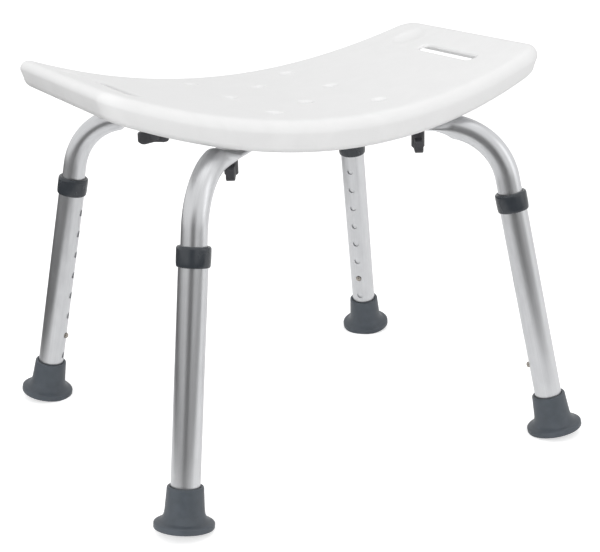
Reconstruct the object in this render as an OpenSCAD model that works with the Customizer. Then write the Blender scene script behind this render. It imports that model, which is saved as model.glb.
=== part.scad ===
// Shower stool: saddle-shaped blow-moulded seat on four splayed telescopic legs.
// Millimetres. X is the seat's long way, Z is up, the origin is on the floor under the middle.
// Every leg is drawn in its own frame: local Z runs up the leg, local -X faces inward.

/* [Seat] */
// length of the seat
seat_l = 496; // [480:1:504]
// width at the middle of the long sides
seat_w = 313; // [300:1:322]
// how far each long side draws in by the ends
side_bow = 26; // [10:1:34]
// radius of the corners in plan
corner_r = 28; // [24:1:40]
// height of the top surface at the middle
seat_z = 366.6; // [364.6:0.2:368.6]
// rise of the top surface from the middle to the ends
saddle = 48.4; // [44:0.2:56]
// thickness at the middle
thick_mid = 32; // [31:0.5:33]
// thickness at the ends
thick_end = 27.5; // [27:0.5:33]
// radius of the rounding round the top edge
edge_r = 13; // [10:0.5:14]
// radius of the rounding round the bottom edge
foot_edge_r = 7; // [5:0.5:8]
// how far the side wall draws in toward the bottom
side_draft = 3; // [2:0.5:6]
// wall of the blow-moulded shell
shell_t = 2.6; // [2.2:0.1:3]

/* [Hand slots and dishes] */
// distance of each slot's middle from the seat's middle
slot_x = 195; // [188:0.5:198]
// slot length
slot_l = 104; // [90:1:108]
// slot width
slot_w = 14; // [10:0.5:20]
// how far the slots sit forward of the middle
slot_fwd = 24; // [20:1:28]
// thickness of the sheet the slot is cut in
web_t = 4; // [2.4:0.2:5]
// how far the finger recess under the sheet reaches out past the slot's middle
recess_out = 37; // [30:0.5:38]
// how far it reaches back from the slot's middle
recess_back = 124; // [100:1:126]
// radius of the shallow dish beside each slot
dish_r = 21; // [18:1:28]
// depth of the dish
dish_d = 4.4; // [2:0.2:5]

/* [Drain holes] */
// spacing of the hole rows along the seat
drain_dx = 60; // [55:1:62]
// spacing of the holes across the seat
drain_dy = 100; // [96:1:104]
// radius of the funnel at the surface
funnel_r = 8.5; // [7:0.5:9]
// radius of the hole
drain_r = 3.6; // [3:0.1:4]

/* [Leg layout] */
// plan angle of the front right leg from the X axis
leg_plan = 42; // [41:0.5:43]
// distance of each foot's middle from the stool's middle
base_r = 298; // [294:1:304]
// lean of the legs from vertical
splay = 11.6; // [11:0.1:12]

/* [Upper tube] */
// outside diameter of the upper tube
upper_od = 25.4; // [25.2:0.1:25.6]
// wall of both tubes
tube_wall = 1.3; // [1.1:0.1:1.5]
// centreline radius of the bend
bend_r = 67; // [64:1:69]
// height of the level run under the seat
run_z = 336.4; // [336:0.2:336.6]
// thickness of the flattened end
plate_t = 4; // [3.6:0.2:4]

/* [Lower tube] */
// outside diameter of the lower tube
lower_od = 28.6; // [28.5:0.1:28.8]
// height of the lowest hole above the foot's underside, along the leg
hole_0 = 51.2; // [50:0.1:54]
// spacing of the height holes
hole_pitch = 25.4; // [25.4:0.1:25.4]
// number of height holes
hole_n = 8; // [8:1:8]
// diameter of the height holes
hole_d = 7.6; // [7.2:0.1:8]
// underside of the collar, along the leg
collar_s = 251.2; // [248:0.2:252]
// height of the collar
collar_h = 21; // [18:0.5:21]
// outside diameter of the collar
collar_od = 34; // [33:0.2:36]

/* [Snap button] */
// diameter of the button
button_d = 6.2; // [6:0.1:6.4]
// how far the button stands out of the lower tube
button_out = 3; // [2:0.2:3.4]

/* [Foot] */
// radius of the foot's flange
flange_r = 29.4; // [28:0.2:31]
// height of the foot
foot_h = 45; // [42:0.5:46]
// radius of the foot's top rim
rim_r = 18.9; // [18.4:0.1:19.4]
// how far the rubber is pressed flat on the floor
press = 1.5; // [1:0.1:2]

/* [Knob] */
// distance of the knobs from the stool's middle
knob_r = 146.5; // [145:0.5:148]
// radius of the knob's hub
hub_r = 7; // [6.6:0.1:8]
// span of the two wings
wing_span = 34; // [30:1:38]
// height of the whole knob
knob_h = 24.6; // [22:0.2:25]

/* [Hidden] */
$fn = 64;
e = 0.05;
L2 = seat_l / 2;
W2 = seat_w / 2;
base_z = flange_r * sin(splay) - press;
upper_r = upper_od / 2;
lower_r = lower_od / 2;
lower_in = lower_r - tube_wall;
upper_in = upper_r - tube_wall;
washer_s = 8;
washer_t = 1.5;
button_s = hole_0 + hole_pitch;
upper_end = button_s - 18;
lower_top = collar_s + collar_h - 6;
bend_z = run_z - bend_r * (1 - sin(splay));
bend_s = (bend_z - base_z) / cos(splay);
run_r = base_r - (bend_z - base_z) * tan(splay) - bend_r * cos(splay);
flat_from = 75;
plate_w = half_w(plate_t / 2);
plate_in = knob_r - 22;
plate_out = run_r - 14;
pad_z = run_z + plate_t / 2 + e;
insert_l = 14;
insert_r = 5.5;
stud_r = 3;

// name, plan angle, plan angle of the knob's wings
LEGS = [["front_right", -leg_plan, 62], ["rear_right", leg_plan, 70],
        ["rear_left", 180 - leg_plan, -4], ["front_left", 180 + leg_plan, 60]];
PIECES = ["upper_tube", "lower_tube", "collar", "foot", "foot_washer", "snap_clip",
          "snap_button", "knob", "knob_stud", "seat_insert"];

/* [View] */
// which node to draw

// ---------------------------------------------------------------- seat
function top_z(x) = seat_z + saddle * pow(x / L2, 2);
function thick(x) = thick_mid + (thick_end - thick_mid) * pow(x / L2, 2);
function side_y(x, i) = W2 - i - side_bow * pow(x / L2, 2);
bow_a = atan(2 * side_bow * (L2 - corner_r) / pow(L2, 2));
cx = L2 - corner_r;

// front half of the plan outline, left to right, drawn in by i
function half_ring(i) = let (r = corner_r - i, a0 = 90 - bow_a, x1 = cx + r * cos(a0),
    cy = side_y(x1, i) - r * sin(a0), n = 24, k = 6)
    concat([for (j = [0 : k - 1]) let (a = a0 * j / k) [-cx - r * cos(a), -cy - r * sin(a)]],
           [for (j = [0 : n]) let (x = -x1 + 2 * x1 * j / n) [x, -side_y(x, i)]],
           [for (j = [k - 1 : -1 : 0]) let (a = a0 * j / k) [cx + r * cos(a), -cy - r * sin(a)]]);

// one closed ring round the seat: p = [inset, rise, 0 top or 1 underside], t = wall drawn in
function ring(p, t) = let (h = half_ring(p[0] + t))
    [for (s = [0, 1]) for (j = [0 : len(h) - 1]) let (v = s == 0 ? h[j] : h[len(h) - 1 - j])
        [v[0], s == 0 ? v[1] : -v[1],
         top_z(v[0]) - p[2] * thick(v[0]) + p[1] + t * (p[2] == 0 ? -1 : 1)]];

module seat_solid(t) {
    prof = [for (q = [90 : -18 : 0]) [edge_r * (1 - cos(q)), -edge_r * (1 - sin(q)), 0]];
    low = [for (q = [0 : 22.5 : 90])
        [side_draft + foot_edge_r * (1 - cos(q)), foot_edge_r * (1 - sin(q)), 1]];
    rings = [for (p = concat(prof, low)) ring(p, t)];
    m = len(rings[0]);
    h = m / 2;
    n = len(rings);
    side = [for (k = [0 : n - 2]) for (j = [0 : m - 1]) let (a = k * m + j, b = k * m + (j + 1) % m)
        each [[a, b, b + m], [a, b + m, a + m]]];
    top = [for (j = [0 : h - 2]) [m - 1 - j, m - 2 - j, j + 1, j]];
    base = (n - 1) * m;
    under = [for (j = [0 : h - 2]) [base + j, base + j + 1, base + m - 2 - j, base + m - 1 - j]];
    polyhedron(points = [for (r = rings) each r], faces = concat(side, top, under), convexity = 6);
}

module both_ends() {
    children();
    mirror([1, 0, 0]) children();
}

module stadium(l, w, h) {
    linear_extrude(height = h) {
        square([w, l - w], center = true);
        for (s = [-1, 1]) translate([0, s * (l - w) / 2]) circle(d = w);
    }
}

// rectangle with round corners between two opposite corners
module rounded(a, b, r) {
    translate([a[0], a[1] + r]) square([b[0] - a[0], b[1] - a[1] - 2 * r]);
    translate([a[0] + r, a[1]]) square([b[0] - a[0] - 2 * r, b[1] - a[1]]);
    for (x = [a[0] + r, b[0] - r]) for (y = [a[1] + r, b[1] - r]) translate([x, y]) circle(r = r);
}

// finger recess in the underside, outward of and behind the slot
module hand_recess(grow) {
    slope = atan(2 * saddle * slot_x / pow(L2, 2));
    front = slot_l / 2 + 8;
    translate([slot_x, -slot_fwd, top_z(slot_x)]) rotate([0, -slope, 0]) translate([0, 0, -60])
        linear_extrude(height = 60 - web_t + (grow > 0 ? web_t + 6 : 0))
        rounded([-slot_w / 2 - 10 - grow, -front - grow], [recess_out + grow, recess_back + grow], 10 + grow);
}

module hand_slot() {
    slope = atan(2 * saddle * slot_x / pow(L2, 2));
    translate([slot_x, -slot_fwd, top_z(slot_x)]) rotate([0, -slope, 0])
        translate([0, 0, -30]) stadium(slot_l, slot_w, 60);
}

module dish(grow) {
    R = (pow(dish_r, 2) + pow(dish_d, 2)) / (2 * dish_d);
    x = slot_x + 15;
    slope = atan(2 * saddle * x / pow(L2, 2));
    translate([x, 76, top_z(x)]) rotate([0, -slope, 0]) translate([0, 0, R - dish_d])
        sphere(r = R + grow, $fn = 128);
}

DRAINS = concat([for (x = [-1, 1]) for (y = [-1 : 1]) [x * drain_dx, y * drain_dy]],
                [[0, 0.54 * drain_dy], [0, -0.54 * drain_dy]]);

module drain(grow) {
    for (d = DRAINS) translate([d[0], d[1], top_z(d[0])]) {
        translate([0, 0, -5.5]) cylinder(r1 = drain_r + grow, r2 = funnel_r * 1.6 + grow, h = 5.5 * 2.4);
        translate([0, 0, -60]) cylinder(r = drain_r + grow, h = 56);
    }
}

module at_knobs() {
    for (l = LEGS) rotate([0, 0, l[1]]) translate([knob_r, 0, 0]) children();
}

// level pad under the seat for each tube's flattened end
module pad() {
    for (l = LEGS) rotate([0, 0, l[1]])
        translate([plate_in - 2, 3 - plate_w, pad_z]) cube([36, 2 * plate_w - 6, 14]);
}

module seat() color([0.95, 0.95, 0.95]) difference() {
    union() {
        seat_solid(0);
        pad();
    }
    difference() {
        seat_solid(shell_t);
        both_ends() hand_recess(shell_t);
        both_ends() dish(shell_t);
        drain(shell_t);
        at_knobs() translate([0, 0, 340]) cylinder(r = insert_r + 3, h = 40);
    }
    both_ends() difference() {
        hand_recess(0);
        dish(shell_t);
    }
    both_ends() hand_slot();
    both_ends() dish(0);
    drain(0);
    at_knobs() translate([0, 0, pad_z - 1]) cylinder(r = insert_r, h = insert_l + 1.5);
    for (s = [-1, 1]) translate([s * 30, 0, 320]) cylinder(d = 4, h = 25);
}

// ---------------------------------------------------------------- leg frame
module leg(i) {
    rotate([0, 0, LEGS[i][1]]) translate([base_r, 0, base_z]) rotate([0, -splay, 0]) children();
}

// half-width of the tube when its half-height is pressed to b, at a constant girth
function half_w(b) = PI * upper_r / 2 + (1 - PI / 2) * b;

// centreline of the flattening stretch: [plan radius, height, tilt from level]
function flat_path(u) = let (arc = bend_r * (90 - flat_from) * PI / 180, run = run_r - plate_out,
    d = u * (arc + run))
    d < arc ? let (q = flat_from + d / bend_r * 180 / PI)
        [run_r + bend_r * cos(q), run_z - bend_r * (1 - sin(q)), 90 - q]
    : [run_r - (d - arc), run_z, 0];

// cross-section of the flattening stretch, drawn in by wall plus a hair to stay inside its neighbours
function flat_ring(u, wall) = let (p = flat_path(u), s = u * u * (3 - 2 * u),
    full = upper_r + (plate_t / 2 - upper_r) * s, b = full - wall - e, w = half_w(full) - wall - e, n = 24)
    [for (k = [0 : n - 1]) let (a = 360 * k / n,
        y = (w - b) * sign(round(cos(a) * 1e6)) + b * cos(a), z = b * sin(a))
        [p[0] + z * sin(p[2]), y, p[1] + z * cos(p[2])]];

module flattening(wall) {
    us = concat([0, 0.15, 0.3, 0.45, 0.6, 0.75, 0.88], wall > 0 ? [0.96] : [1]);
    lead = [for (p = flat_ring(0, wall)) p + 0.5 * [sin(flat_from), 0, -cos(flat_from)]];
    tail = [for (p = flat_ring(1, wall)) p - [1, 0, 0]];
    rings = concat([lead], [for (u = us) flat_ring(u, wall)], wall > 0 ? [] : [tail]);
    n = len(lead);
    m = len(rings);
    side = [for (j = [0 : m - 2]) for (k = [0 : n - 1]) let (a = j * n + k, b = j * n + (k + 1) % n)
        each [[a, b, b + n], [a, b + n, a + n]]];
    polyhedron(points = [for (r = rings) each r], convexity = 4,
        faces = concat(side, [[for (k = [n - 1 : -1 : 0]) k]], [[for (k = [0 : n - 1]) (m - 1) * n + k]]));
}

// the bend starts a hair inside the straight length, and a hair smaller
module bend(r) {
    translate([run_r, 0, run_z - bend_r]) rotate([90, 0, 0]) rotate([0, 0, splay - 0.3])
        rotate_extrude(angle = flat_from - splay + 0.3, $fn = 96)
        translate([bend_r, 0]) circle(r = r - 0.01, $fn = 64);
}

module upper_tube(i) color([0.78, 0.79, 0.81]) difference() {
    union() {
        leg(i) translate([0, 0, upper_end]) cylinder(r = upper_r, h = bend_s - upper_end);
        rotate([0, 0, LEGS[i][1]]) {
            bend(upper_r);
            flattening(0);
            translate([plate_in + 8, -plate_w, run_z - plate_t / 2])
                cube([plate_out - plate_in - 8, 2 * plate_w, plate_t]);
            translate([plate_in, -plate_w + 8, run_z - plate_t / 2]) cube([9, 2 * plate_w - 16, plate_t]);
            for (s = [-1, 1]) translate([plate_in + 8, s * (plate_w - 8), run_z - plate_t / 2])
                cylinder(r = 8, h = plate_t);
        }
    }
    leg(i) translate([0, 0, upper_end - 1]) cylinder(r = upper_in, h = bend_s - upper_end + 1);
    rotate([0, 0, LEGS[i][1]]) {
        bend(upper_in);
        flattening(tube_wall);
        translate([knob_r, 0, run_z - 5]) cylinder(r = 3.4, h = 10);
    }
    leg(i) translate([0, 0, button_s]) rotate([0, -90, 0]) cylinder(d = hole_d, h = 20);
}

module lower_tube(i) color([0.8, 0.81, 0.83]) leg(i) difference() {
    translate([0, 0, washer_s + washer_t]) cylinder(r = lower_r, h = lower_top - washer_s - washer_t);
    translate([0, 0, washer_s]) cylinder(r = lower_in, h = 300);
    for (k = [0 : hole_n - 1]) translate([0, 0, hole_0 + k * hole_pitch]) rotate([0, -90, 0])
        cylinder(d = hole_d, h = 20);
}

module collar(i) color([0.33, 0.36, 0.39]) leg(i) translate([0, 0, collar_s]) rotate_extrude()
    polygon([[lower_r + e, 0], [collar_od / 2 - 1.2, 0], [collar_od / 2 - 0.3, 0.5], [collar_od / 2, 1.4],
             [collar_od / 2, 3.4], [collar_od / 2 - 0.5, 4], [collar_od / 2 - 0.5, collar_h - 4],
             [collar_od / 2, collar_h - 3.4], [collar_od / 2, collar_h - 1.4],
             [collar_od / 2 - 0.3, collar_h - 0.5], [collar_od / 2 - 1.2, collar_h],
             [upper_r + 0.3, collar_h], [upper_r + 0.3, collar_h - 6 + e],
             [lower_r + e, collar_h - 6 + e]]);

module foot(i) color([0.35, 0.38, 0.41]) intersection() {
    leg(i) difference() {
        rotate_extrude() polygon(concat(
            [[0, 0], [flange_r - 1, 0], [flange_r, 1], [flange_r, 5], [flange_r - 1.2, 6.6]],
            [for (q = [0 : 15 : 75]) [20.6 + 7.6 * (1 - sin(q)), 7.2 + 9 * (1 - cos(q))]],
            [[20.3, 17], [rim_r + 0.6, foot_h - 5], [rim_r + 0.5, foot_h - 1], [rim_r - 0.5, foot_h],
             [0, foot_h]]));
        translate([0, 0, washer_s - e]) cylinder(r = lower_r + e, h = foot_h);
        translate([0, 0, -1]) cylinder(r = 15, h = 3.5);
        translate([0, 0, -1]) difference() {
            cylinder(r = 20.5, h = 2.5);
            cylinder(r = 18, h = 2.5);
        }
    }
    translate([0, 0, 200]) cube([900, 900, 400], center = true);
}

module foot_washer(i) color([0.6, 0.6, 0.62]) leg(i) translate([0, 0, washer_s]) difference() {
    cylinder(r = lower_r - 0.1, h = washer_t - e);
    translate([0, 0, -1]) cylinder(r = 4, h = 4);
}

// ---------------------------------------------------------------- snap button
// outline of a strip of thickness t along a path
function strip(p, t) = let (n = len(p),
    d = [for (i = [0 : n - 1]) let (a = p[max(i - 1, 0)], b = p[min(i + 1, n - 1)], v = b - a)
        [-v[1], v[0]] / norm(v) * t / 2])
    concat([for (i = [0 : n - 1]) p[i] + d[i]], [for (i = [n - 1 : -1 : 0]) p[i] - d[i]]);

loop_s = 36;
module leaf(p) rotate([90, 0, 0]) translate([0, 0, -4]) linear_extrude(height = 8) polygon(strip(p, 0.6));

module snap_clip(i) color([0.6, 0.6, 0.62]) leg(i) translate([0, 0, button_s])
    leaf(concat([[10, -12], [9.6, -6]], [for (q = [-10 : 20 : 190]) [3 * cos(q), loop_s + 3 * sin(q)]]));

module snap_button(i) color([0.72, 0.72, 0.74]) leg(i) translate([0, 0, button_s]) {
    leaf([[-3, loop_s - 1.2], [-9.3, 5], [-9.7, 0], [-9.7, -6]]);
    intersection() {
        translate([-9.6, 0, 0]) rotate([0, -90, 0]) cylinder(d = button_d, h = lower_r + button_out - 9.6);
        translate([button_d * 0.75 - lower_r - button_out, 0, 0]) sphere(r = button_d * 0.75, $fn = 96);
    }
    translate([-9.6, 0, 0]) rotate([0, -90, 0]) cylinder(d = button_d, h = 5);
}

// ---------------------------------------------------------------- hand knob
knob_top = run_z - plate_t / 2 - 0.3;
module knob(i) color([0.24, 0.24, 0.26])
    rotate([0, 0, LEGS[i][1]]) translate([knob_r, 0, knob_top]) rotate([0, 0, LEGS[i][2] - LEGS[i][1]])
    difference() {
        union() {
            translate([0, 0, -1.6]) cylinder(r = hub_r + 1, h = 1.6);
            translate([0, 0, -knob_h + 4]) cylinder(r = hub_r, h = knob_h - 4);
            wing();
        }
        translate([0, 0, -knob_h + 6]) cylinder(r = stud_r + e, h = knob_h);
    }

module wing() {
    for (s = [-1, 1]) rotate([90, 0, 0]) translate([0, 0, -4.5]) linear_extrude(height = 9)
        polygon([[0, -9.5], [s * 6, -10], [s * (wing_span / 2 - 2), -11], [s * wing_span / 2, -12.4],
                 [s * wing_span / 2, 2.5 - knob_h], [s * (wing_span / 2 - 2), 0.6 - knob_h],
                 [s * (wing_span / 2 - 6), -knob_h], [0, 2 - knob_h]]);
}

module knob_stud(i) color([0.7, 0.7, 0.72])
    rotate([0, 0, LEGS[i][1]]) translate([knob_r, 0, knob_top + 6.2 - knob_h])
    cylinder(r = stud_r, h = pad_z + insert_l - 0.5 - (knob_top + 6.2 - knob_h));

module seat_insert(i) color([0.75, 0.65, 0.4])
    rotate([0, 0, LEGS[i][1]]) translate([knob_r, 0, pad_z + 0.2]) difference() {
        cylinder(r = insert_r - e, h = insert_l);
        translate([0, 0, -1]) cylinder(r = stud_r + e, h = insert_l + 2);
    }

seat();
for (i = [0 : 3]) {
    upper_tube(i);
    lower_tube(i);
    collar(i);
    foot(i);
    foot_washer(i);
    snap_clip(i);
    snap_button(i);
    knob(i);
    knob_stud(i);
    seat_insert(i);
}
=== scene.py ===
import math

import bmesh
import bpy
import numpy as np
from mathutils import Matrix, Vector
from mathutils.geometry import delaunay_2d_cdt


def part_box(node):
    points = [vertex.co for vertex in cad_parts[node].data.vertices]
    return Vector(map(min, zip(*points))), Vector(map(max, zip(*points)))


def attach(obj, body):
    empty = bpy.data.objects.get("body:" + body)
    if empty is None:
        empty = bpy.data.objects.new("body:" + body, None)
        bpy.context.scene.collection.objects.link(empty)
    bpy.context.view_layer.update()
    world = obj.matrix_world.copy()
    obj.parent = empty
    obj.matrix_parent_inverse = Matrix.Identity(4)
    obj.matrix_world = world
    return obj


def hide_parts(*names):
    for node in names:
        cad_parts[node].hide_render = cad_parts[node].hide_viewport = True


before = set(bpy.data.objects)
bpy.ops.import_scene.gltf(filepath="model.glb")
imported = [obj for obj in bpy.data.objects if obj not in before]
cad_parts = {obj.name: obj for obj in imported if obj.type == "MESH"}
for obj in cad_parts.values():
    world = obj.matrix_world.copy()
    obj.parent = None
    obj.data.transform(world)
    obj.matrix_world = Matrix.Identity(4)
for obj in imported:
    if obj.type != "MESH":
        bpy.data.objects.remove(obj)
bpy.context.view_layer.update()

# ---------------------------------------------------------------- seat
# The seat is one hollow blow-moulded shell of white HDPE with a saddle-shaped top, a bullnose
# edge, two hand slots with a finger recess under each, two shallow dishes and eight drain funnels.
# It rests on the four flattened tube ends, on level pads moulded underneath.
MM = 0.001
seat_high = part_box("seat")[1]
HALF_L = seat_high.x / MM
HALF_W = seat_high.y / MM
SIDE_BOW = 26.0
CORNER_R = 28.0
MIDDLE_Z = 366.6
SADDLE = 48.4
THICK_MIDDLE = 32.0
THICK_END = 27.5
TOP_ROUND = 13.0
UNDER_INSET = 3.0
UNDER_ROUND = 7.0
SLOT_X, SLOT_Y = 195.0, -24.0
SLOT_L, SLOT_W = 104.0, 14.0
WEB = 4.0
LIP_ROUND, UNDER_LIP_ROUND = 2.8, 1.0
RECESS = ((-17.0, 35.5), (-60.0, 124.0))
RECESS_R = 10.0
RECESS_TOP_ROUND, RECESS_MOUTH_ROUND = 1.5, 1.2
DISH_X, DISH_Y = 210.0, 76.0
DISH_R, DISH_DEEP = 21.0, 4.4
DRAINS = [(x, y) for x in (-60, 60) for y in (-100, 0, 100)] + [(0, -54), (0, 54)]
KNOB_R = 146.5
PAD_Z = 338.45
PAD_IN, PAD_OUT, PAD_HALF_W = 122.5, 153.5, 11.0
PAD_H, PAD_EASE = 13.0, 0.8
INSERT_R, INSERT_DEEP = 5.5, 14.4
VENT_X, VENT_R = 30, 2
# how far apart the loose grid points of the top, ceiling and underside skins are
TOP_GRID, CEILING_GRID, UNDER_GRID = 4.5, 6, 7.5
PLATE_HALF_W = 18.8
# each leg's name, the angle of its plane in plan, and the angle its hand knob's wings stopped at
LEGS = [("front_right", -42, 62), ("rear_right", 42, 70), ("rear_left", 138, -4), ("front_left", 222, 60)]


def top_z(x):
    return MIDDLE_Z + SADDLE * (x / HALF_L) ** 2


def under_z(x):
    return top_z(x) - THICK_MIDDLE - (THICK_END - THICK_MIDDLE) * (x / HALF_L) ** 2


def outline(inset, along=104, corner=14, end=40):
    """The seat's plan outline drawn in by inset, anticlockwise from the left end's front corner."""
    def side_y(x):
        return HALF_W - inset - SIDE_BOW * (x / HALF_L) ** 2

    r = CORNER_R - inset
    middle_x = HALF_L - CORNER_R
    turn = math.pi / 2 - math.atan(2 * SIDE_BOW * middle_x / HALF_L ** 2)
    side_x = middle_x + r * math.cos(turn)
    middle_y = side_y(side_x) - r * math.sin(turn)
    arc = np.linspace(0, turn, corner, endpoint=False)
    left = np.column_stack([-middle_x - r * np.cos(arc), -middle_y - r * np.sin(arc)])
    x = np.linspace(-side_x, side_x, along)
    right = left[::-1] * (-1, 1)
    end_y = np.linspace(-middle_y, middle_y, end)[1:-1]
    rise = np.column_stack([np.full(end - 2, middle_x + r), end_y])
    half = np.vstack([left, np.column_stack([x, -side_y(x)]), right, rise])
    return np.vstack([half, -half])


def lift(flat, height):
    """Plan points raised to a height that depends on them."""
    return np.column_stack([flat, np.broadcast_to(height, len(flat))])


def loft(rows):
    """Quads between closed rings that have the same number of points."""
    rows = np.array(rows)
    n, m = rows.shape[:2]
    faces = [(a * m + j, a * m + (j + 1) % m, (a + 1) * m + (j + 1) % m, (a + 1) * m + j)
             for a in range(n - 1) for j in range(m)]
    return rows.reshape(-1, 3), faces


def inside(points, loop):
    """Which points lie inside a closed loop, from how many of its edges a line to the side crosses."""
    x, y = points[:, :1], points[:, 1:]
    a, b = loop, np.roll(loop, -1, axis=0)
    over = (a[:, 1] > y) != (b[:, 1] > y)
    rise = np.where(a[:, 1] == b[:, 1], 1, b[:, 1] - a[:, 1])
    return (over & (x < (b[:, 0] - a[:, 0]) * (y - a[:, 1]) / rise + a[:, 0])).sum(1) % 2 == 1


def skin(edge, holes, guides, spacing):
    """Triangles from an edge loop to the loops of its holes, through guide points and a loose grid."""
    x, y = np.meshgrid(np.arange(-HALF_L, HALF_L, spacing), np.arange(-HALF_W, HALF_W, spacing * 0.87))
    x = x + spacing / 2 * (np.arange(len(y)) % 2)[:, None]
    grid = np.column_stack([x.ravel(), y.ravel()])
    fixed = np.vstack([edge] + holes + guides)
    grid = grid[inside(grid, edge)]
    gap = np.array([np.hypot(*(fixed - p).T).min() for p in grid])
    grid = grid[gap > 0.62 * spacing]
    points = np.vstack([fixed, grid])
    loops, start = [], 0
    for loop in [edge] + holes:
        loops += [(start + j, start + (j + 1) % len(loop)) for j in range(len(loop))]
        start += len(loop)
    found = delaunay_2d_cdt([Vector(p) for p in points], loops, [], 0, 1e-4)
    points, faces = np.array([tuple(p) for p in found[0]]), np.array(found[2])
    middles = points[faces].mean(1)
    keep = inside(middles, edge)
    for hole in holes:
        keep &= ~inside(middles, hole)
    return points, faces[keep].tolist()


def circle(x, y, r, n=48):
    turn = np.linspace(0, 2 * math.pi, n, endpoint=False)
    return np.column_stack([x + r * np.cos(turn), y + r * np.sin(turn)])


def slot_ring(grow, arc=16, straight=14):
    """The slot's rounded outline about its middle, drawn out by grow."""
    r, reach = SLOT_W / 2 + grow, (SLOT_L - SLOT_W) / 2
    turn = np.linspace(0, math.pi, arc)
    head = np.column_stack([r * np.cos(turn), reach + r * np.sin(turn)])
    side = np.column_stack([np.full(straight - 2, -r), np.linspace(reach, -reach, straight)[1:-1]])
    return np.vstack([head, side, -head, -side])


def recess_ring(grow, arc=8, straight=22):
    """The finger recess's rounded outline about the slot's middle, drawn out by grow."""
    (x0, x1), (y0, y1) = RECESS
    r = RECESS_R + grow
    turn = np.linspace(0, math.pi / 2, arc)
    corner = np.column_stack([r * np.cos(turn), r * np.sin(turn)])
    ring = []
    for k, (x, y) in enumerate([(x1, y1), (x0, y1), (x0, y0), (x1, y0)]):
        middle = (x - math.copysign(RECESS_R, x), y - math.copysign(RECESS_R, y))
        spun = np.array(Matrix.Rotation(k * math.pi / 2, 2))
        ring.append(corner @ spun.T + middle)
    sides = [np.linspace(ring[k][-1], ring[(k + 1) % 4][0], straight)[1:-1] for k in range(4)]
    return np.vstack([part for pair in zip(ring, sides) for part in pair])


slot_slope = math.atan(2 * SADDLE * SLOT_X / HALF_L ** 2)


def slot_row(side, flat, depth, from_under=False):
    """One ring of the slot or its recess, depth in from the top surface, or depth up from the underside."""
    x0 = SLOT_X + flat[:, 0] * math.cos(slot_slope)
    if from_under:
        deep = np.full(len(flat), 25.0)
        for _ in range(20):
            deep = (top_z(x0) - under_z(x0 + deep * math.sin(slot_slope))) / math.cos(slot_slope)
        depth = deep - depth
    x = x0 + depth * math.sin(slot_slope)
    z = top_z(x0) - depth * math.cos(slot_slope)
    return np.column_stack([side * x, SLOT_Y + flat[:, 1], z])


def dish_drop(x, y):
    """How far the shallow round dishes sink below the saddle."""
    r = np.hypot(np.abs(x) - DISH_X, y - DISH_Y)
    bowl = DISH_DEEP * (1 - (r / DISH_R) ** 2)
    blend = np.clip((r - DISH_R + 4) / 7, 0, 1)
    return np.where(r < DISH_R + 3, np.clip(bowl, 0.0, None) * (1 - blend) ** 1.5, 0)


quarter = np.radians(np.arange(0, 90.1, 11.25))
rows = [lift(o, top_z(o[:, 0]) - TOP_ROUND * (1 - c))
        for c, o in [(math.cos(q), outline(TOP_ROUND * (1 - math.sin(q)))) for q in quarter]]
for q in quarter:
    o = outline(UNDER_INSET + UNDER_ROUND * (1 - math.cos(q)))
    rows.append(lift(o, under_z(o[:, 0]) + UNDER_ROUND * (1 - math.sin(q))))
sheets = [loft(rows)]

# drain funnels: a rounded rim, a cone and a straight hole with an eased edge below
FUNNEL = [(9.9, 0), (9.2, 0.1), (8.6, 0.35), (8.0, 0.8), (7.2, 1.5), (5.8, 3.0), (4.5, 4.5), (3.9, 5.3),
          (3.6, 6.6)]
drain_tops, drain_unders = [], []
for x, y in DRAINS:
    rings = [circle(x, y, r) for r, _ in FUNNEL]
    rows = [lift(ring, top_z(ring[:, 0]) - drop) for ring, (_, drop) in zip(rings, FUNNEL)]
    for r, up in ((3.6, 1.2), (3.9, 0.4), (4.6, 0)):
        ring = circle(x, y, r)
        rows.append(lift(ring, under_z(ring[:, 0]) + up))
    sheets.append(loft(rows))
    drain_tops.append(rows[0][:, :2])
    drain_unders.append(rows[-1][:, :2])

# hand slots: a sheet with rounded slot edges over a finger recess, whose ceiling dips under the dish
DISH_RINGS = (5, 10, 14, 17, 18.5, 20, 21.5, 23, 25)
guides = [circle(side * DISH_X, DISH_Y, r, 64) for side in (-1, 1) for r in DISH_RINGS]
slot_tops, slot_unders = [], []
eased = np.radians([0, 22.5, 45, 67.5, 90])
for side in (-1, 1):
    rows = [slot_row(side, slot_ring(LIP_ROUND * (1 - math.sin(q))), LIP_ROUND * (1 - math.cos(q)))
            for q in eased]
    rows += [slot_row(side, slot_ring(UNDER_LIP_ROUND * (1 - math.sin(q))),
                      WEB - UNDER_LIP_ROUND * (1 - math.cos(q))) for q in eased[::-1]]
    walls = [slot_row(side, recess_ring(-RECESS_TOP_ROUND * (1 - math.sin(q))),
                      WEB + RECESS_TOP_ROUND * (1 - math.cos(q))) for q in eased]
    walls += [slot_row(side, recess_ring(RECESS_MOUTH_ROUND * (1 - math.sin(q))),
                       RECESS_MOUTH_ROUND * (1 - math.cos(q)), True) for q in eased[::-1]]
    sheets += [loft(rows), loft(walls)]
    dips = [circle(side * DISH_X, DISH_Y, r, 40) for r in (8, 14)]
    points, faces = skin(walls[0][:, :2], [rows[-1][:, :2]], dips, CEILING_GRID)
    over = np.abs(points[:, 0]) - WEB * math.sin(slot_slope)
    ceiling = top_z(over) - WEB * math.cos(slot_slope) - dish_drop(over, points[:, 1])
    sheets.append((lift(points, ceiling), faces))
    slot_tops.append(rows[0][:, :2])
    slot_unders.append(walls[-1][:, :2])

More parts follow.
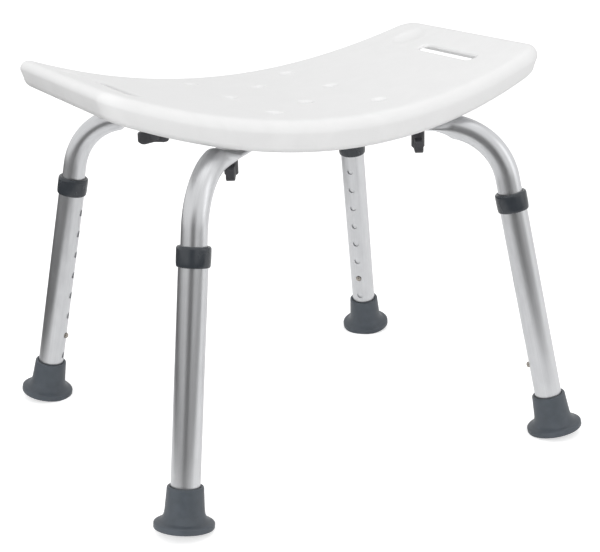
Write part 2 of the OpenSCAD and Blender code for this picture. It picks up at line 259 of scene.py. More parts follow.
guides += [loop[::2] + (loop[::2] - loop.mean(0)) * 0.03 for loop in slot_tops]
points, faces = skin(outline(TOP_ROUND), slot_tops + drain_tops, guides, TOP_GRID)
sheets.append((lift(points, top_z(points[:, 0]) - dish_drop(points[:, 0], points[:, 1])), faces))
points, faces = skin(outline(UNDER_INSET + UNDER_ROUND), slot_unders + drain_unders, [], UNDER_GRID)
sheets.append((lift(points, under_z(points[:, 0])), faces))


def stitch(parts):
    """One closed mesh from sheets of points and faces whose edges meet, in metres."""
    shape = bmesh.new()
    for points, faces in parts:
        made = [shape.verts.new(Vector(p) * MM) for p in points]
        for face in faces:
            shape.faces.new([made[i] for i in face])
    bmesh.ops.remove_doubles(shape, verts=shape.verts, dist=5e-6)
    bmesh.ops.recalc_face_normals(shape, faces=shape.faces)
    mesh = bpy.data.meshes.new("shape")
    shape.to_mesh(mesh)
    shape.free()
    return mesh


def combine(mesh, tool, operation):
    """A mesh joined to a second one, or cut by it."""
    made = [bpy.data.objects.new("work", m) for m in (mesh, tool)]
    for one in made:
        bpy.context.scene.collection.objects.link(one)
    step = made[0].modifiers.new("step", "BOOLEAN")
    step.operation = operation
    step.object = made[1]
    step.solver = "EXACT"
    bpy.context.view_layer.update()
    result = bpy.data.meshes.new_from_object(made[0].evaluated_get(bpy.context.evaluated_depsgraph_get()))
    for one in made:
        bpy.data.objects.remove(one)
    return result


def prism(profile, length, bevel):
    """A closed outline drawn out along local X and eased along its edges, in millimetres."""
    shape = bmesh.new()
    first = [shape.verts.new((0, y, z)) for y, z in profile]
    face = shape.faces.new(first)
    grown = bmesh.ops.extrude_face_region(shape, geom=[face])["geom"]
    moved = [g for g in grown if isinstance(g, bmesh.types.BMVert)]
    bmesh.ops.translate(shape, vec=(length, 0, 0), verts=moved)
    bmesh.ops.recalc_face_normals(shape, faces=shape.faces)
    bmesh.ops.bevel(shape, geom=list(shape.edges), offset=bevel, segments=3, profile=0.5, affect="EDGES",
                    clamp_overlap=True)
    return shape


def merged(shapes):
    """Several bmesh shapes, each with its place, as one mesh in metres."""
    mesh, whole = bpy.data.meshes.new("shape"), bmesh.new()
    for shape, place in shapes:
        bmesh.ops.transform(shape, matrix=Matrix.Scale(MM, 4) @ place, verts=shape.verts)
        shape.to_mesh(mesh)
        whole.from_mesh(mesh)
        shape.free()
    whole.to_mesh(mesh)
    whole.free()
    return mesh


def in_plan(angle, x=0, y=0, z=0):
    return Matrix.Rotation(math.radians(angle), 4, "Z") @ Matrix.Translation((x, y, z))


def rod(radius, length, n=48):
    """A plain round tool along local Z from zero, for cutting with."""
    shape = bmesh.new()
    bmesh.ops.create_cone(shape, cap_ends=True, segments=n, radius1=radius, radius2=radius, depth=length,
                          matrix=Matrix.Translation((0, 0, length / 2)))
    return shape


# the pads over the tube ends, the pockets for the threaded inserts and two small vents
pad_section = [(-PAD_HALF_W, PAD_Z), (PAD_HALF_W, PAD_Z),
               (PAD_HALF_W, PAD_Z + PAD_H), (-PAD_HALF_W, PAD_Z + PAD_H)]
pads = merged([(prism(pad_section, PAD_OUT - PAD_IN, PAD_EASE), in_plan(plan, PAD_IN))
               for _, plan, _ in LEGS])
seat_mesh = combine(stitch(sheets), pads, "UNION")
cuts = [(rod(INSERT_R, INSERT_DEEP + 1), in_plan(plan, KNOB_R, 0, PAD_Z - 1)) for _, plan, _ in LEGS]
cuts += [(rod(VENT_R, 25, 24), Matrix.Translation((x, 0, 320))) for x in (-VENT_X, VENT_X)]
seat_mesh = combine(seat_mesh, merged(cuts), "DIFFERENCE")


def srgb(code):
    """A hex colour as linear red, green, blue and alpha."""
    parts = [int(code[i:i + 2], 16) / 255 for i in (1, 3, 5)]
    return (*[c / 12.92 if c <= 0.04045 else ((c + 0.055) / 1.055) ** 2.4 for c in parts], 1)


def add(tree, kind, settings=(), inputs=()):
    """Adds a shader node with its settings, and its inputs as values or as sockets to link."""
    made = tree.nodes.new(kind)
    for key, value in dict(settings).items():
        setattr(made, key, value)
    for key, value in dict(inputs).items():
        if isinstance(value, bpy.types.NodeSocket):
            tree.links.new(value, made.inputs[key])
        else:
            made.inputs[key].default_value = value
    return made


def new_material(name):
    material = bpy.data.materials.new(name)
    material.use_nodes = True
    material.node_tree.nodes.clear()
    return material, material.node_tree


def ramp(tree, factor, stops):
    """A colour ramp from a list of positions and colours."""
    made = add(tree, "ShaderNodeValToRGB", inputs={"Fac": factor})
    for _ in stops[2:]:
        made.color_ramp.elements.new(0.5)
    for element, (at, colour) in zip(made.color_ramp.elements, stops):
        element.position = at
        element.color = colour
    return made.outputs["Color"]


def grey(value):
    return (value, value, value, 1)


def finish_material(tree, shader):
    add(tree, "ShaderNodeOutputMaterial", inputs={"Surface": shader.outputs["BSDF"]})


# Blow-moulded HDPE: waxy satin white. The sandblasted mould leaves a pebble of about 1 mm, drawn here
# at 1.6 mm so that it shows, and the cooling shell pulls into soft waves some 70 mm long.
hdpe, tree = new_material("blow_moulded_hdpe")
where = add(tree, "ShaderNodeTexCoord").outputs["Object"]
pebble = add(tree, "ShaderNodeTexNoise", inputs={
    "Vector": where, "Scale": 1 / 0.0016, "Detail": 3, "Roughness": 0.6})
waves = add(tree, "ShaderNodeTexNoise", inputs={"Vector": where, "Scale": 1 / 0.07, "Detail": 1})
smears = add(tree, "ShaderNodeTexNoise", inputs={
    "Vector": where, "Scale": 1 / 0.03, "Detail": 4, "Distortion": 1.2})
tone = ramp(tree, smears.outputs["Fac"], [(0.3, srgb("#E6E6E6")), (0.7, srgb("#E9E9E9"))])
gloss = ramp(tree, smears.outputs["Fac"], [(0.3, grey(0.4)), (0.72, grey(0.5))])
wave_bump = add(tree, "ShaderNodeBump", inputs={
    "Strength": 0.12, "Distance": 0.004, "Height": waves.outputs["Fac"]})
pebble_bump = add(tree, "ShaderNodeBump", inputs={
    "Strength": 0.1, "Distance": 0.0003, "Height": pebble.outputs["Fac"],
    "Normal": wave_bump.outputs["Normal"]})
finish_material(tree, add(tree, "ShaderNodeBsdfPrincipled", inputs={
    "Base Color": tone, "Roughness": gloss, "IOR": 1.54, "Normal": pebble_bump.outputs["Normal"]}))


def piece(name, mesh, material, body, stands_for, place=Matrix.Identity(4), sharp=35):
    """Shows a finished mesh as a piece that rides on a body and stands for CAD nodes."""
    mesh.materials.clear()
    mesh.materials.append(material)
    mesh.shade_smooth()
    mesh.set_sharp_from_angle(angle=math.radians(sharp))
    made = bpy.data.objects.new(name, mesh)
    made.data.name = name
    bpy.context.scene.collection.objects.link(made)
    made.matrix_world = place
    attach(made, body)
    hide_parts(stands_for)
    return made


piece("seat_shell", seat_mesh, hdpe, "seat_frame", "seat")

# ---------------------------------------------------------------- upper tubes
# Each upper tube is 1 inch drawn aluminium with a 1.3 mm wall, satin anodised. It is bent to run level
# under the seat, and its end is pressed flat, drilled, and clamped to the seat by the hand knob.
SPLAY = math.radians(11.6)
BASE_R, BASE_Z = 298.0, 4.412
UPPER_R, WALL = 12.7, 1.3
RUN_Z, BEND_R = 336.4, 67.0
UPPER_END = 44.6
PLATE_HALF_T = 2.0
PLATE_END, PLATE_CORNER = 124.5, 8.0
FLAT_FROM = math.radians(75)
PRESS_FROM, PRESS_TO = 0.22, 0.92
PRESS_DIMPLE = 2.6

bend_z = RUN_Z - BEND_R * (1 - math.sin(SPLAY))
bend_s = (bend_z - BASE_Z) / math.cos(SPLAY)
run_r = BASE_R - (bend_z - BASE_Z) * math.tan(SPLAY) - BEND_R * math.cos(SPLAY)
plate_start = run_r - 14


def pressed_ring(half_w, half_t, n=16):
    """Across and up, round a tube pressed to a flat-sided section, with n points in each quarter."""
    round_share = max(0.4, math.pi / 2 * half_t / (math.pi / 2 * half_t + half_w - half_t))
    share = np.arange(n) / n
    turn = np.minimum(share / round_share, 1) * math.pi / 2
    flat = np.clip((share - round_share) / (1 - round_share + 1e-9), 0, 1)
    y = (half_w - half_t) * (1 - flat) + half_t * np.cos(turn)
    z = half_t * np.sin(turn)
    quarter_1 = np.column_stack([y, z])
    top = np.array([[0, half_t]])
    quarter_2 = np.column_stack([-y[:0:-1], z[:0:-1]])
    half = np.vstack([quarter_1, top, quarter_2])
    return np.vstack([half, -half])


def upper_rows():
    """Rings along the tube: each ring's points, and the same ring on the tube as it was before bending."""
    def ring(x, z, lean, half_w, half_t, run, dimple=0.0):
        yz = pressed_ring(half_w, half_t)
        dip = dimple * (1 - (yz[:, 0] / half_w) ** 2) ** 2
        up = yz[:, 1] - np.sign(yz[:, 1]) * np.minimum(dip, np.abs(yz[:, 1]))
        bent = np.column_stack([x + up * math.cos(lean), yz[:, 0], z + up * math.sin(lean)])
        girth = np.arctan2(yz[:, 1], yz[:, 0])
        plain = np.column_stack([UPPER_R * np.sin(girth), UPPER_R * np.cos(girth), np.full(len(yz), run)])
        return bent, plain

    def on_leg(s, r):
        return ring(BASE_R - s * math.sin(SPLAY), BASE_Z + s * math.cos(SPLAY), SPLAY, r, r, s)

    made = [on_leg(UPPER_END + 60, UPPER_R - WALL), on_leg(UPPER_END + 0.3, UPPER_R - WALL),
            on_leg(UPPER_END, UPPER_R - WALL + 0.3), on_leg(UPPER_END, UPPER_R - 0.3)]
    straight = np.linspace(UPPER_END + 8, bend_s - 8, 12)
    made += [on_leg(s, UPPER_R) for s in (UPPER_END + 0.3, *straight, bend_s)]
    for lean in np.linspace(SPLAY, FLAT_FROM, 24)[1:]:
        x, z = run_r + BEND_R * math.cos(lean), RUN_Z - BEND_R * (1 - math.sin(lean))
        made.append(ring(x, z, lean, UPPER_R, UPPER_R, bend_s + BEND_R * (lean - SPLAY)))
    arc = BEND_R * (math.pi / 2 - FLAT_FROM)
    run = bend_s + BEND_R * (FLAT_FROM - SPLAY)
    length = arc + run_r - plate_start
    for u in np.linspace(0, 1, 30)[1:]:
        d = u * length
        press = min(max((u - PRESS_FROM) / (PRESS_TO - PRESS_FROM), 0), 1)
        half_t = UPPER_R + (PLATE_HALF_T - UPPER_R) * press * press * (3 - 2 * press)
        half_w = math.pi * UPPER_R / 2 + (1 - math.pi / 2) * half_t
        lean = min(FLAT_FROM + d / BEND_R, math.pi / 2)
        x = run_r + BEND_R * math.cos(lean) - max(d - arc, 0)
        z = RUN_Z - BEND_R * (1 - math.sin(lean))
        made.append(ring(x, z, lean, half_w, half_t, run + d, PRESS_DIMPLE * math.sin(math.pi * press) ** 2))
    for x in np.linspace(plate_start, PLATE_END + PLATE_CORNER, 5)[1:]:
        made.append(ring(x, RUN_Z, math.pi / 2, PLATE_HALF_W, PLATE_HALF_T, run + length + plate_start - x))
    for q in np.radians(np.arange(10, 91, 10)):
        x = PLATE_END + PLATE_CORNER * (1 - math.sin(q))
        w = PLATE_HALF_W - PLATE_CORNER * (1 - math.cos(q))
        t = PLATE_HALF_T - 0.3 * math.sin(q) ** 6
        made.append(ring(x, RUN_Z, math.pi / 2, w, t, run + length + plate_start - x))
    return made


def store_plain(mesh, plain):
    """Keeps each point's place on the straight tube, so that drawing lines can follow the bend."""
    mesh.attributes.new("straight_tube", "FLOAT_VECTOR", "POINT").data.foreach_set(
        "vector", np.asarray(plain, np.float32).ravel())


def closed_tube(rings):
    """A mesh from rings of points, with both end rings closed."""
    points, faces = loft([r[0] for r in rings])
    m = len(rings[0][0])
    faces += [tuple(range(m)), tuple(range(len(points) - m, len(points)))[::-1]]
    mesh = bpy.data.meshes.new("tube")
    mesh.from_pydata((points * MM).tolist(), [], faces)
    shape = bmesh.new()
    shape.from_mesh(mesh)
    bmesh.ops.recalc_face_normals(shape, faces=shape.faces)
    shape.to_mesh(mesh)
    shape.free()
    store_plain(mesh, np.vstack([r[1] for r in rings]) * MM)
    return mesh


def satin_aluminium(name, light, dark, rough_low, rough_high):
    """Drawn and satin-anodised aluminium: pale grey metal with a soft, slightly cloudy sheen.
    Die lines run down the tube about 0.7 mm apart, drawn at 1 mm so that they show; the etch before
    anodising leaves a frost of about 0.4 mm, and handling leaves rubbed patches some 25 mm long."""
    material, tree = new_material(name)
    where = add(tree, "ShaderNodeAttribute", {"attribute_name": "straight_tube"}).outputs["Vector"]
    drawn = add(tree, "ShaderNodeMapping", inputs={"Vector": where, "Scale": (1, 1, 0.012)})
    lines = add(tree, "ShaderNodeTexNoise", inputs={
        "Vector": drawn.outputs["Vector"], "Scale": 1 / 0.001, "Detail": 3})
    frost = add(tree, "ShaderNodeTexNoise", inputs={"Vector": where, "Scale": 1 / 0.0008, "Detail": 2})
    patch_map = add(tree, "ShaderNodeMapping", inputs={"Vector": where, "Scale": (1, 1, 0.45)})
    rubbed = add(tree, "ShaderNodeTexNoise", inputs={
        "Vector": patch_map.outputs["Vector"], "Scale": 1 / 0.011, "Detail": 5, "Roughness": 0.6})
    tone = ramp(tree, rubbed.outputs["Fac"], [(0.3, srgb(dark)), (0.66, srgb(light))])
    streak = ramp(tree, lines.outputs["Fac"], [(0.3, grey(0.93)), (0.7, grey(1))])
    colour = add(tree, "ShaderNodeMix", {"data_type": "RGBA", "blend_type": "MULTIPLY"},
                 {"Factor": 1.0, 6: tone, 7: streak}).outputs[2]
    sheen = ramp(tree, rubbed.outputs["Fac"], [(0.3, grey(rough_high)), (0.7, grey(rough_low))])
    line_bump = add(tree, "ShaderNodeBump", inputs={
        "Strength": 0.12, "Distance": 0.00008, "Height": lines.outputs["Fac"]})
    frost_bump = add(tree, "ShaderNodeBump", inputs={
        "Strength": 0.12, "Distance": 0.0001, "Height": frost.outputs["Fac"],
        "Normal": line_bump.outputs["Normal"]})
    finish_material(tree, add(tree, "ShaderNodeBsdfPrincipled", inputs={
        "Base Color": colour, "Metallic": 1.0, "Roughness": sheen, "Normal": frost_bump.outputs["Normal"]}))
    return material


upper_finish = satin_aluminium("satin_anodised_aluminium_upper", "#E2E3E5", "#DDDEE0", 0.3, 0.36)
for leg, plan, _ in LEGS:
    piece(f"bent_tube_{leg}", closed_tube(upper_rows()), upper_finish, "seat_frame",
          f"upper_tube_{leg}", in_plan(plan))

# ---------------------------------------------------------------- lower tubes
# Each lower tube is 1 1/8 inch drawn aluminium with a 1.3 mm wall, satin anodised, and slides over
# the upper tube. Eight punched holes, one inch apart, face inward and take the snap button.
LOWER_R = 14.3
LOWER_LOW, LOWER_TOP = 9.5, 265
HOLE_FIRST, HOLE_PITCH, HOLE_R, HOLE_N = 51.2, 25.4, 3.8, 8
BUTTON_S = HOLE_FIRST + HOLE_PITCH


def turned(profile, n=96):
    """Rings from a list of radii and heights, turned about local Z."""
    turn = np.linspace(0, 2 * math.pi, n, endpoint=False)
    return [np.column_stack([r * np.cos(turn), r * np.sin(turn), np.full(n, z)]) for r, z in profile]


def on_leg_place(plan):
    return (Matrix.Rotation(math.radians(plan), 4, "Z") @ Matrix.Translation((BASE_R * MM, 0, BASE_Z * MM))
            @ Matrix.Rotation(-SPLAY, 4, "Y"))


def lower_tube_mesh():
    bore = LOWER_R - WALL
    outer = [(LOWER_R - 0.3, LOWER_LOW), (LOWER_R, LOWER_LOW + 0.3)]
    outer += [(LOWER_R, z) for z in np.linspace(LOWER_LOW + 12, LOWER_TOP - 12, 20)]
    outer += [(LOWER_R, LOWER_TOP - 0.3), (LOWER_R - 0.3, LOWER_TOP)]
    inner = [(bore + 0.3, LOWER_TOP), (bore, LOWER_TOP - 0.3)]
    inner += [(bore, z) for z in np.linspace(LOWER_TOP - 12, LOWER_LOW + 12, 20)]
    inner += [(bore, LOWER_LOW + 0.3), (bore + 0.3, LOWER_LOW)]
    rows = turned(outer + inner)
    tube = stitch([loft(rows + rows[:1])])
    across = Matrix.Rotation(-math.pi / 2, 4, "Y")
    holes = [(rod(HOLE_R, 20, 40), Matrix.Translation((0, 0, HOLE_FIRST + k * HOLE_PITCH)) @ across)
             for k in range(HOLE_N)]
    tube = combine(tube, merged(holes), "DIFFERENCE")
    store_plain(tube, [v.co for v in tube.vertices])
    return tube


lower_finish = satin_aluminium("satin_anodised_aluminium_lower", "#DFE0E2", "#D8D9DB", 0.29, 0.35)
for leg, plan, _ in LEGS:
    piece(f"outer_tube_{leg}", lower_tube_mesh(), lower_finish, f"leg_{leg}",
          f"lower_tube_{leg}", on_leg_place(plan))

# ---------------------------------------------------------------- collars
# A collar moulded in dark grey nylon caps the lower tube's top. It steps in to the upper tube, steadies
# it, and is smooth outside, with a rounded shoulder above and a slight taper below.
COLLAR_S = 249.3
COLLAR = [(14.4, 0), (15.2, 0), (15.7, 0.2), (16.05, 0.7), (16.3, 1.6), (16.45, 3), (16.6, 6), (16.65, 10),
          (16.65, 16.6), (16.6, 17.8), (16.35, 18.7), (15.9, 19.4), (15.3, 19.85), (14.6, 20), (13.6, 20),
          (13.2, 19.8), (13.02, 19.4), (13.02, 16), (14.4, 15.9)]


def speckled_plastic(name, dark, light, rough, grain_mm, bump, ior):
    """Moulded plastic or rubber: a dark even body colour, spark-eroded grain and slightly uneven gloss."""
    material, tree = new_material(name)
    where = add(tree, "ShaderNodeTexCoord").outputs["Object"]
    grain = add(tree, "ShaderNodeTexNoise", inputs={
        "Vector": where, "Scale": 1 / (grain_mm * MM), "Detail": 3, "Roughness": 0.65})
    cloud = add(tree, "ShaderNodeTexNoise", inputs={"Vector": where, "Scale": 1 / 0.009, "Detail": 4})
    tone = ramp(tree, cloud.outputs["Fac"], [(0.32, srgb(dark)), (0.68, srgb(light))])
    gloss = ramp(tree, cloud.outputs["Fac"], [(0.3, grey(rough - 0.05)), (0.7, grey(rough + 0.07))])
    relief = add(tree, "ShaderNodeBump", inputs={
        "Strength": bump, "Distance": 0.0004, "Height": grain.outputs["Fac"]})
    finish_material(tree, add(tree, "ShaderNodeBsdfPrincipled", inputs={
        "Base Color": tone, "Roughness": gloss, "IOR": ior, "Normal": relief.outputs["Normal"]}))
    return material


# Moulded nylon: near-black grey, smooth and slightly glossy, so its shoulder catches a thin light line.
nylon = speckled_plastic("moulded_nylon", "#303439", "#34383D", 0.22, 0.9, 0.03, 1.53)
for leg, plan, _ in LEGS:
    rows = turned([(r, COLLAR_S + z) for r, z in COLLAR])
    piece(f"collar_ring_{leg}", stitch([loft(rows + rows[:1])]), nylon, f"leg_{leg}",
          f"collar_{leg}", on_leg_place(plan), 50)

# ---------------------------------------------------------------- feet
# Each foot is a moulded rubber cup with a wide flange that flares from the tube. The tube stands in it
# on a steel washer. Because the leg leans, the inner edge of the rubber is pressed flat on the floor.
# radii and heights: the ribbed underside, the flange, its fillet, the cup, and the socket for the tube
FOOT = [(0, 2.5), (14.4, 2.5), (15, 1.9), (15, 0.3), (15.4, 0), (17.7, 0), (18, 0.3), (18, 1.1), (20.5, 1.1),
        (20.5, 0.3), (20.8, 0), (28.2, 0), (28.9, 0.3), (29.3, 0.9), (29.4, 1.7), (29.4, 4.9), (29.25, 5.5),
        (28.85, 5.95), (28.1, 6.4)]
FOOT += [(19.5 + 8.2 * (1 - math.sin(q)), 7.1 + 10 * (1 - math.cos(q)))
         for q in np.radians(np.arange(6, 79, 8))]
FOOT += [(19.25, 17.5), (18.8, 24), (18.35, 31), (18, 36), (17.85, 38.9), (17.65, 39.9), (17.2, 40.5),
         (16.5, 40.8), (15.7, 40.8), (15.1, 40.6), (14.6, 40.1), (14.4, 39.3), (14.36, 28), (14.36, 9.4),
         (14.3, 8), (0, 8)]


def foot_mesh(place):
    """The turned foot, closed top and bottom on its axis, with anything under the floor pressed up to it."""
    rows = turned(FOOT[1:-1], 120)
    m = len(rows[0])
    points, faces = loft(rows)
    points = np.vstack([points, (0, 0, FOOT[0][1]), (0, 0, FOOT[-1][1])])
    last = len(points) - 2 - m
    faces += [(j, (j + 1) % m, len(points) - 2) for j in range(m)]
    faces += [(last + (j + 1) % m, last + j, len(points) - 1) for j in range(m)]
    mesh = stitch([(points, faces)])
    back = place.inverted()
    for v in mesh.vertices:
        at = place @ v.co
        if at.z < 0:
            v.co = back @ Vector((at.x, at.y, 0))
    return mesh


# Moulded rubber: dark slate grey with a fine pebble and a soft, even sheen.
rubber = speckled_plastic("moulded_rubber", "#3E444A", "#454B52", 0.42, 1.3, 0.12, 1.52)
for leg, plan, _ in LEGS:
    place = on_leg_place(plan)
    piece(f"rubber_foot_{leg}", foot_mesh(place), rubber, f"leg_{leg}", f"foot_{leg}",
          place, 40)

# ---------------------------------------------------------------- snap buttons
# A stainless button pokes through both tubes and locks the leg. It is riveted to one leaf of a folded
# spring steel clip that sits inside the upper tube; pressing it lets the leg slide.
BUTTON_R, BUTTON_TIP, DOME_H = 3.1, 17.3, 2.1
LOOP_S, LEAF_HALF_T, LEAF_HALF_W = 36.0, 0.3, 4.0


def button_mesh():
    """The domed button with the leaf it is riveted to, standing on the leg's line."""
    dome = [(BUTTON_R * math.sin(q), BUTTON_TIP - DOME_H + DOME_H * math.cos(q))
            for q in np.radians(np.arange(6, 91, 7))]
    profile = dome + [(BUTTON_R, 9.9), (2.9, 9.7)]
    rows = turned(profile, 48)
    m = len(rows[0])
    points, faces = loft(rows)
    points = np.vstack([points, (0, 0, BUTTON_TIP)])
    faces += [((j + 1) % m, j, len(points) - 1) for j in range(m)]
    faces += [tuple(range(len(points) - 1 - m, len(points) - 1))[::-1]]
    pin = stitch([(points, faces)])
    pin.transform(Matrix.Translation((0, 0, BUTTON_S * MM)) @ Matrix.Rotation(-math.pi / 2, 4, "Y"))
    path = [(-3, LOOP_S - 1.2), (-9.3, 5), (-9.75, 0), (-9.75, -6)]
    shape = bmesh.new()
    loop = [(x + LEAF_HALF_T, z) for x, z in path] + [(x - LEAF_HALF_T, z) for x, z in path[::-1]]
    face = shape.faces.new([shape.verts.new((x, -LEAF_HALF_W, z)) for x, z in loop])
    grown = bmesh.ops.extrude_face_region(shape, geom=[face])["geom"]
    moved = [g for g in grown if isinstance(g, bmesh.types.BMVert)]
    bmesh.ops.translate(shape, vec=(0, 2 * LEAF_HALF_W, 0), verts=moved)
    bmesh.ops.recalc_face_normals(shape, faces=shape.faces)
    leaf = merged([(shape, Matrix.Translation((0, 0, BUTTON_S)))])
    return combine(pin, leaf, "UNION")


def worked_metal(name, dark, light, rough, grain_mm, bump):
    """Bare worked metal: bright, faintly streaked by tool and handling, with small changes in gloss."""
    material, tree = new_material(name)
    where = add(tree, "ShaderNodeTexCoord").outputs["Object"]
    stretched = add(tree, "ShaderNodeMapping", inputs={"Vector": where, "Scale": (1, 1, 0.2)})
    grain = add(tree, "ShaderNodeTexNoise", inputs={
        "Vector": stretched.outputs["Vector"], "Scale": 1 / (grain_mm * MM), "Detail": 3})
    tone = ramp(tree, grain.outputs["Fac"], [(0.3, srgb(dark)), (0.7, srgb(light))])
    gloss = ramp(tree, grain.outputs["Fac"], [(0.3, grey(rough + 0.08)), (0.7, grey(rough - 0.05))])
    relief = add(tree, "ShaderNodeBump", inputs={
        "Strength": bump, "Distance": 0.0001, "Height": grain.outputs["Fac"]})
    finish_material(tree, add(tree, "ShaderNodeBsdfPrincipled", inputs={
        "Base Color": tone, "Metallic": 1.0, "Roughness": gloss, "Normal": relief.outputs["Normal"]}))
    return material


# Tumbled stainless steel: darker and warmer than the aluminium, with a small hard highlight.
stainless = worked_metal("tumbled_stainless_steel", "#A09A92", "#B8B2AA", 0.2, 0.6, 0.1)
for leg, plan, _ in LEGS:
    piece(f"lock_button_{leg}", button_mesh(), stainless, f"button_{leg}",
          f"snap_button_{leg}", on_leg_place(plan))

# ---------------------------------------------------------------- hand knobs
# Each hand knob is a charcoal nylon T-bar moulded round a threaded stud. It screws up through the
# tube's flattened end into a brass insert in the seat, and clamps the leg to the seat.
KNOB_TOP, KNOB_H, HUB_R = 334.1, 24.6, 7.0
WING_HALF, WING_T, WING_EASE = 17.0, 9.0, 2


def knob_mesh():
    """A bored hub with a washer face on top, and two wings whose bar hangs a little below it."""
    hub_low = 4 - KNOB_H
    hub = [(3.1, 0), (7.6, 0), (8, -0.3), (8, -1.3), (7.7, -1.6), (7.15, -1.8), (HUB_R, -2.4),
           (HUB_R, hub_low + 1), (6.6, hub_low + 0.3), (6, hub_low), (3.1, hub_low)]
    rows = turned(hub, 64)
    body = stitch([loft(rows + rows[:1])])
    end = WING_HALF - 2
    side = [(end, -11), (WING_HALF, -12.4), (WING_HALF, 2.5 - KNOB_H), (end, 0.6 - KNOB_H),
            (WING_HALF - 6, -KNOB_H)]
    loop = [(0, -9.5), (6, -10)] + side + [(0, 1.6 - KNOB_H)] + [(-x, z) for x, z in side[::-1]] + [(-6, -10)]
    wings = prism(loop, WING_T, WING_EASE)
    turn = Matrix.Rotation(math.pi / 2, 4, "Z") @ Matrix.Translation((-WING_T / 2, 0, 0))
    return combine(body, merged([(wings, turn)]), "UNION")


# Glass-filled nylon: charcoal with a fine matt grain and softly lit edges.
knob_nylon = speckled_plastic("glass_filled_nylon", "#3B3B3E", "#434347", 0.45, 0.8, 0.12, 1.53)
for leg, plan, wings in LEGS:
    at = in_plan(plan, KNOB_R * MM).to_translation()
    place = Matrix.Translation((at.x, at.y, KNOB_TOP * MM)) @ Matrix.Rotation(math.radians(wings), 4, "Z")
    piece(f"hand_knob_{leg}", knob_mesh(), knob_nylon, f"knob_{leg}", f"knob_{leg}", place)

# ---------------------------------------------------------------- studs, clips, washers and inserts
# These small metal parts keep the shapes they were drawn with: the knobs' steel studs, the spring steel
# clips, the zinc-plated washers in the feet and the knurled brass inserts moulded into the seat.
# Zinc-plated steel: pale, slightly blue and cloudy.
zinc = worked_metal("zinc_plated_steel", "#A9ACB0", "#BFC2C6", 0.32, 1.2, 0.08)
# Turned brass: warm yellow with fine knurling marks.
brass = worked_metal("turned_brass", "#B59A5A", "#CBB06E", 0.3, 0.5, 0.2)
fittings = {"knob_stud": zinc, "snap_clip": zinc, "foot_washer": zinc, "seat_insert": brass}
for leg, _, _ in LEGS:
    for node, material in fittings.items():
        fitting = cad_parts[f"{node}_{leg}"].data
        fitting.materials.clear()
        fitting.materials.append(material)

# ---------------------------------------------------------------- floor, light and camera
# A wide pale studio floor under an even white sky, with one soft light overhead and one on the right. A
# dim patch of sky, and two fills that metal and gloss don't mirror, give the round tubes their soft dark
# core while the white seat stays evenly bright.
floor_shape = bmesh.new()
bmesh.ops.create_grid(floor_shape, x_segments=8, y_segments=8, size=6)
floor_mesh = bpy.data.meshes.new("studio_floor")
floor_shape.to_mesh(floor_mesh)
floor_shape.free()
floor = bpy.data.objects.new("studio_floor", floor_mesh)
bpy.context.scene.collection.objects.link(floor)
# Matt white paper. Seen directly it is plain and pale, with a faint even glow. As a light source it is a
# painted sheet: pale with a faint painted glow, ending in front of the stool and on its left in painted
# shade that stands for a dim room beyond.
VIEW_TURN = math.radians(-28.17)
SHEET_FRONT, SHEET_LEFT, SHEET_FADE = 0.5, -0.45, 0.15
SHEET_GLOW, SEEN_GLOW = 0.12, 0.5
paper_and_painted_light, tree = new_material("paper_with_painted_room_light")
where = add(tree, "ShaderNodeTexCoord").outputs["Object"]
ahead = add(tree, "ShaderNodeVectorMath", {"operation": "DOT_PRODUCT"}, {
    0: where, 1: (math.sin(VIEW_TURN), -math.cos(VIEW_TURN), 0)}).outputs["Value"]
across = add(tree, "ShaderNodeVectorMath", {"operation": "DOT_PRODUCT"}, {
    0: where, 1: (math.cos(VIEW_TURN), math.sin(VIEW_TURN), 0)}).outputs["Value"]
near = add(tree, "ShaderNodeMapRange", {"interpolation_type": "SMOOTHSTEP"}, {
    "Value": ahead, "From Min": SHEET_FRONT - SHEET_FADE, "From Max": SHEET_FRONT + SHEET_FADE,
    "To Min": 1, "To Max": 0})
beside = add(tree, "ShaderNodeMapRange", {"interpolation_type": "SMOOTHSTEP"}, {
    "Value": across, "From Min": SHEET_LEFT - SHEET_FADE, "From Max": SHEET_LEFT + SHEET_FADE})
# painted light mask: 1 on the pale painted sheet, 0 in front of the stool and on its left
painted_light_mask = add(tree, "ShaderNodeMath", {"operation": "MULTIPLY"}, {
    0: near.outputs[0], 1: beside.outputs[0]}).outputs[0]
# painted shade: for rays other than the camera's, the floor turns dark off the sheet and pale on it
painted_room_light = ramp(tree, painted_light_mask, [(0, grey(0.1)), (1, grey(0.8))])
fibre = add(tree, "ShaderNodeTexNoise", inputs={"Vector": where, "Scale": 1 / 0.5, "Detail": 2})
plain = ramp(tree, fibre.outputs["Fac"], [(0.3, grey(0.8)), (0.7, grey(0.82))])
seen = add(tree, "ShaderNodeLightPath").outputs["Is Camera Ray"]
tone = add(tree, "ShaderNodeMix", {"data_type": "RGBA"}, {"Factor": seen, 6: painted_room_light, 7: plain}).outputs[2]
# painted glow: the sheet gives off a little light of its own onto the stool
painted_bounce_glow = add(tree, "ShaderNodeMath", {"operation": "MULTIPLY"}, {0: painted_light_mask, 1: SHEET_GLOW}).outputs[0]
glow = add(tree, "ShaderNodeMix", {"data_type": "FLOAT"}, {0: seen, 2: painted_bounce_glow, 3: SEEN_GLOW}).outputs[0]
finish_material(tree, add(tree, "ShaderNodeBsdfPrincipled", inputs={
    "Base Color": tone, "Roughness": 0.9, "Specular IOR Level": 0.0,
    "Emission Color": grey(1), "Emission Strength": glow}))
floor_mesh.materials.append(paper_and_painted_light)

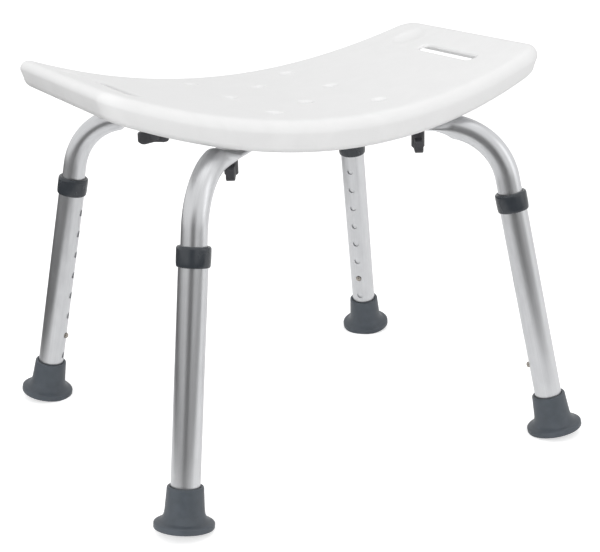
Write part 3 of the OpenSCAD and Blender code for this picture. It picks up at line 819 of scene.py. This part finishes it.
RISE, ROLL = math.radians(17.72), math.radians(1.41)
EYE = Vector((-0.6805, -1.3025, 0.6324))
LENS_MM = 83.53
back = Vector((math.sin(VIEW_TURN) * math.cos(RISE), -math.cos(VIEW_TURN) * math.cos(RISE), math.sin(RISE)))
right = Vector((math.cos(VIEW_TURN), math.sin(VIEW_TURN), 0))
down = (-back).cross(right)
rolled_right = right * math.cos(ROLL) + down * math.sin(ROLL)
rolled_up = right * math.sin(ROLL) - down * math.cos(ROLL)
camera_data = bpy.data.cameras.new("camera")
camera_data.lens = LENS_MM
camera_data.sensor_width = 36
camera = bpy.data.objects.new("camera", camera_data)
bpy.context.scene.collection.objects.link(camera)
axes = Matrix((rolled_right, rolled_up, back)).transposed()
camera.matrix_world = Matrix.Translation(EYE) @ axes.to_4x4()
bpy.context.scene.camera = camera

world = bpy.data.worlds.new("white_studio")
bpy.context.scene.world = world
world.use_nodes = True
tree = world.node_tree
tree.nodes.clear()
direction = add(tree, "ShaderNodeTexCoord").outputs["Generated"]
CORE_EDGE, CORE_WIDTH = 0.12, 0.44
SKY_DIM, SKY_BRIGHT = 0.12, 0.87
core_way = (math.sin(VIEW_TURN - 0.12), -math.cos(VIEW_TURN - 0.12), 0.18)
apart = add(tree, "ShaderNodeVectorMath", {"operation": "DISTANCE"}, {0: direction, 1: core_way})
core = add(tree, "ShaderNodeMapRange", {"interpolation_type": "SMOOTHERSTEP"}, {
    "Value": apart.outputs["Value"], "From Min": CORE_EDGE, "From Max": CORE_EDGE + CORE_WIDTH,
    "To Min": SKY_DIM, "To Max": SKY_BRIGHT})
seen = add(tree, "ShaderNodeLightPath").outputs["Is Camera Ray"]
strength = add(tree, "ShaderNodeMix", {"data_type": "FLOAT"}, {0: seen, 2: core.outputs["Result"], 3: 1.0})
sky = add(tree, "ShaderNodeBackground", inputs={"Color": grey(1), "Strength": strength.outputs[0]})
add(tree, "ShaderNodeOutputWorld", inputs={"Surface": sky.outputs["Background"]})


def soft_light(name, size, watts, at, aim, mirrored=True):
    """A rectangular soft light; mirrored says whether the metal and the gloss show its reflection."""
    data = bpy.data.lights.new(name, "AREA")
    data.shape = "RECTANGLE"
    data.size, data.size_y = size
    data.energy = watts
    lamp = bpy.data.objects.new(name, data)
    bpy.context.scene.collection.objects.link(lamp)
    lamp.visible_glossy = mirrored
    way = Vector(aim) - Vector(at)
    lamp.matrix_world = Matrix.Translation(at) @ way.to_track_quat("-Z", "Y").to_matrix().to_4x4()


soft_light("overhead_softbox", (2.2, 1.6), 3.5, (0.2, 0.1, 2.2), (0, 0, 0.2))
soft_light("front_fill", (2.4, 0.8), 17.5, (-0.95, -1.75, 0.85), (0, 0, 0.4), False)
soft_light("left_fill", (1.6, 0.8), 9, (-2.1, -0.3, 0.5), (0, 0, 0.4), False)
soft_light("right_softbox", (0.8, 1.6), 2.5, (1.5, -1.4, 0.9), (0, 0, 0.25))
bpy.context.scene.view_settings.view_transform = "Standard"
